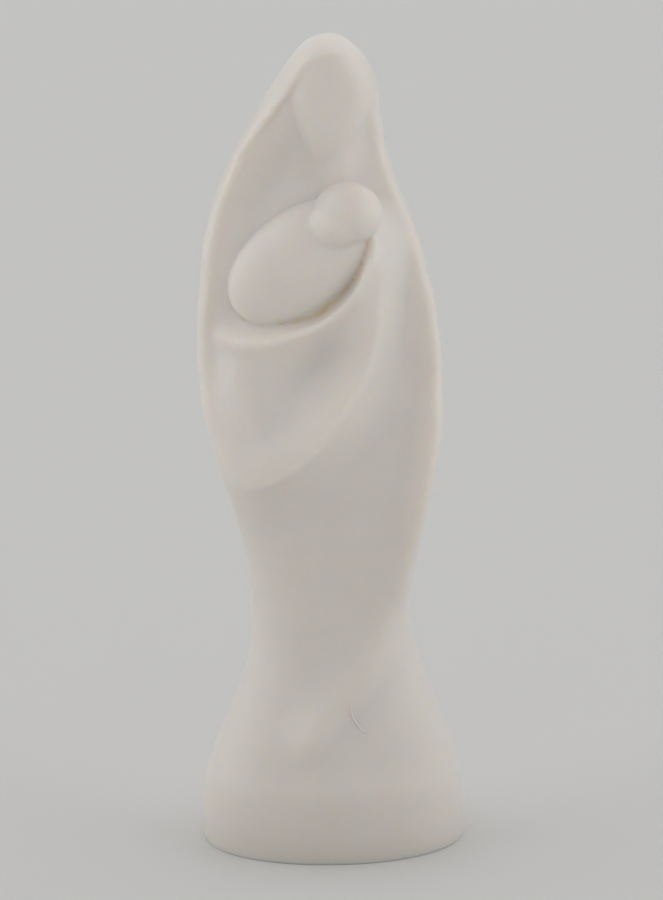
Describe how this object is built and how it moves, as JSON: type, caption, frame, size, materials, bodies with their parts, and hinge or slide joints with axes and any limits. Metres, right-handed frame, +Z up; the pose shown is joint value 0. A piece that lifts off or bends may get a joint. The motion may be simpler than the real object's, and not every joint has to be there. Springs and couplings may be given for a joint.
{
  "type": "virgin and child statue",
  "caption": "Smooth white statue of a hooded, faceless mother with a child lying in a sling across her chest, cast in one piece on an oval foot.",
  "frame": {"origin": "middle of the flat underside that the statue stands on", "axes": "+Z up from the foot to the top of the hood, X along the foot's long axis, the carved front towards -Y and turned 6 degrees towards -X"},
  "size_m": [0.0658, 0.0496, 0.2],
  "materials": {
    "white_resin": "white marble resin with a soft satin polish"
  },
  "bodies": {
    "root": {"virgin_and_child": "white_resin"}
  },
  "joints": []
}
